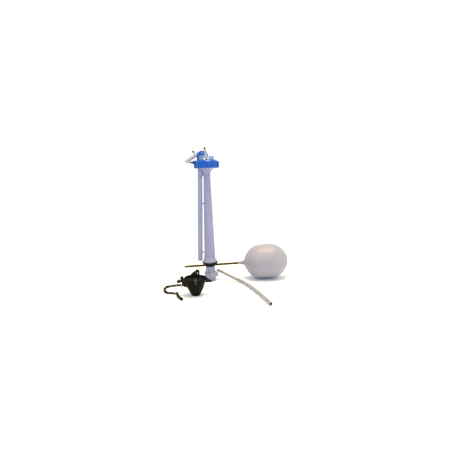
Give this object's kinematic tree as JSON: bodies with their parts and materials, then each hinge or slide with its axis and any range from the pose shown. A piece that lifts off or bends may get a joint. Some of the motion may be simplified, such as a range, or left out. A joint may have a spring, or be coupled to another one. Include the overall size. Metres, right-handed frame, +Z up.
{
  "type": "float valve",
  "caption": "Tall plastic ballcock float valve for a cistern with pivoting float arm, ball on brass rod, refill tube and loose flapper with chain.",
  "frame": {"origin": "on the surface the kit stands on, under the middle of the box of everything but the loose refill tube", "axes": "+Z up along the valve's riser, +X towards the float ball, +Y away from the flapper"},
  "size_m": [0.3468, 0.3146, 0.3801],
  "materials": {
    "body_plastic": "moulded acetal, pale lavender, soft gloss",
    "nut_plastic": "moulded, pale grey-lavender, soft gloss",
    "blue_plastic": "moulded, bright blue, glossy",
    "white_plastic": "moulded, off-white",
    "arm_plastic": "moulded, pinkish off-white",
    "ball_plastic": "blow-moulded polythene, ivory, waxy",
    "vinyl": "translucent vinyl tube, greyed ivory",
    "black_rubber": "moulded rubber, satin",
    "black_plastic": "moulded, satin black",
    "brass": "drawn brass, slightly dulled",
    "steel": "stainless wire, bright"
  },
  "bodies": {
    "valve": {"standpipe": "body_plastic", "discharge_tube": "body_plastic", "valve_seat": "white_plastic", "diaphragm": "black_rubber", "bonnet": "white_plastic", "refill_nipple": "white_plastic", "shank_washer": "black_rubber", "refill_tube": "vinyl"},
    "cap": {"cap_ring": "blue_plastic", "pivot_pin": "steel", "pivot_pin_clip": "steel"},
    "lever": {"lever": "white_plastic", "arm_hinge_pin": "arm_plastic", "arm_hinge_clip": "steel"},
    "float_arm": {"float_arm": "arm_plastic"},
    "arm_screw": {"arm_adjusting_screw": "brass"},
    "plunger_screw": {"plunger_adjusting_screw": "brass"},
    "plunger": {"plunger": "arm_plastic", "seal_disc": "black_rubber"},
    "lock_nut": {"lock_nut": "nut_plastic"},
    "coupling_nut": {"coupling_nut": "nut_plastic", "cone_washer": "black_rubber"},
    "float_rod": {"float_rod": "brass"},
    "float_ball": {"float_ball": "ball_plastic", "ball_neck_collar": "brass"},
    "flapper": {"flapper_seal": "black_rubber", "flapper_frame": "black_plastic", "chain_clip": "black_plastic", "lift_chain": "black_plastic", "chain_hook": "black_plastic", "chain_tail": "black_plastic"}
  },
  "joints": [
    {"name": "cap_twist", "type": "hinge", "parent": "valve", "child": "cap", "pos_m": [-0.05023, 0.06924, 0.333], "axis": [0, 0, 1], "range_deg": [0, 30]},
    {"name": "lever_swing", "type": "hinge", "parent": "cap", "child": "lever", "pos_m": [-0.06053, 0.06924, 0.3645], "axis": [0, 1, 0], "range_deg": [0, 18]},
    {"name": "plunger_slide", "type": "slide", "parent": "valve", "child": "plunger", "axis": [0, 0, -1], "range_m": [0, 0.004], "deforming": ["diaphragm"]},
    {"name": "arm_adjust", "type": "hinge", "parent": "lever", "child": "float_arm", "pos_m": [-0.0859, 0.06924, 0.35278], "axis": [0, 1, 0], "range_deg": [0, 8]},
    {"name": "arm_screw_turn", "type": "hinge", "parent": "float_arm", "child": "arm_screw", "pos_m": [-0.07891, 0.06924, 0.35706], "axis": [-0.5225, 0, 0.8526], "range_deg": [0, 380]},
    {"name": "plunger_screw_turn", "type": "hinge", "parent": "lever", "child": "plunger_screw", "pos_m": [-0.04883, 0.06924, 0.3615], "axis": [-0.3272, 0, 0.9449], "range_deg": [-360, 360]},
    {"name": "lock_nut_turn", "type": "hinge", "parent": "valve", "child": "lock_nut", "pos_m": [-0.05023, 0.06924, 0.025], "axis": [0, 0, 1], "continuous": true},
    {"name": "coupling_nut_turn", "type": "hinge", "parent": "valve", "child": "coupling_nut", "pos_m": [-0.05023, 0.06924, 0.005], "axis": [0, 0, 1], "continuous": true},
    {"name": "float_set_slide", "type": "slide", "parent": "valve", "child": "float_rod", "axis": [0, 1, 0], "range_m": [0, 0.12]},
    {"name": "ball_turn", "type": "hinge", "parent": "float_rod", "child": "float_ball", "pos_m": [0.11097, 0.07724, 0.0501], "axis": [0.9953, -0.0803, 0.0547], "continuous": true},
    {"name": "flapper_lift", "type": "slide", "parent": "valve", "child": "flapper", "axis": [0, 0, 1], "range_m": [0, 0.1]}
  ],
  "couplings": [
    {"joint": "plunger_slide", "follows": "lever_swing", "m_per_rad": 0.0127},
    {"joint": "arm_screw_turn", "follows": "arm_adjust", "ratio": 47}
  ]
}
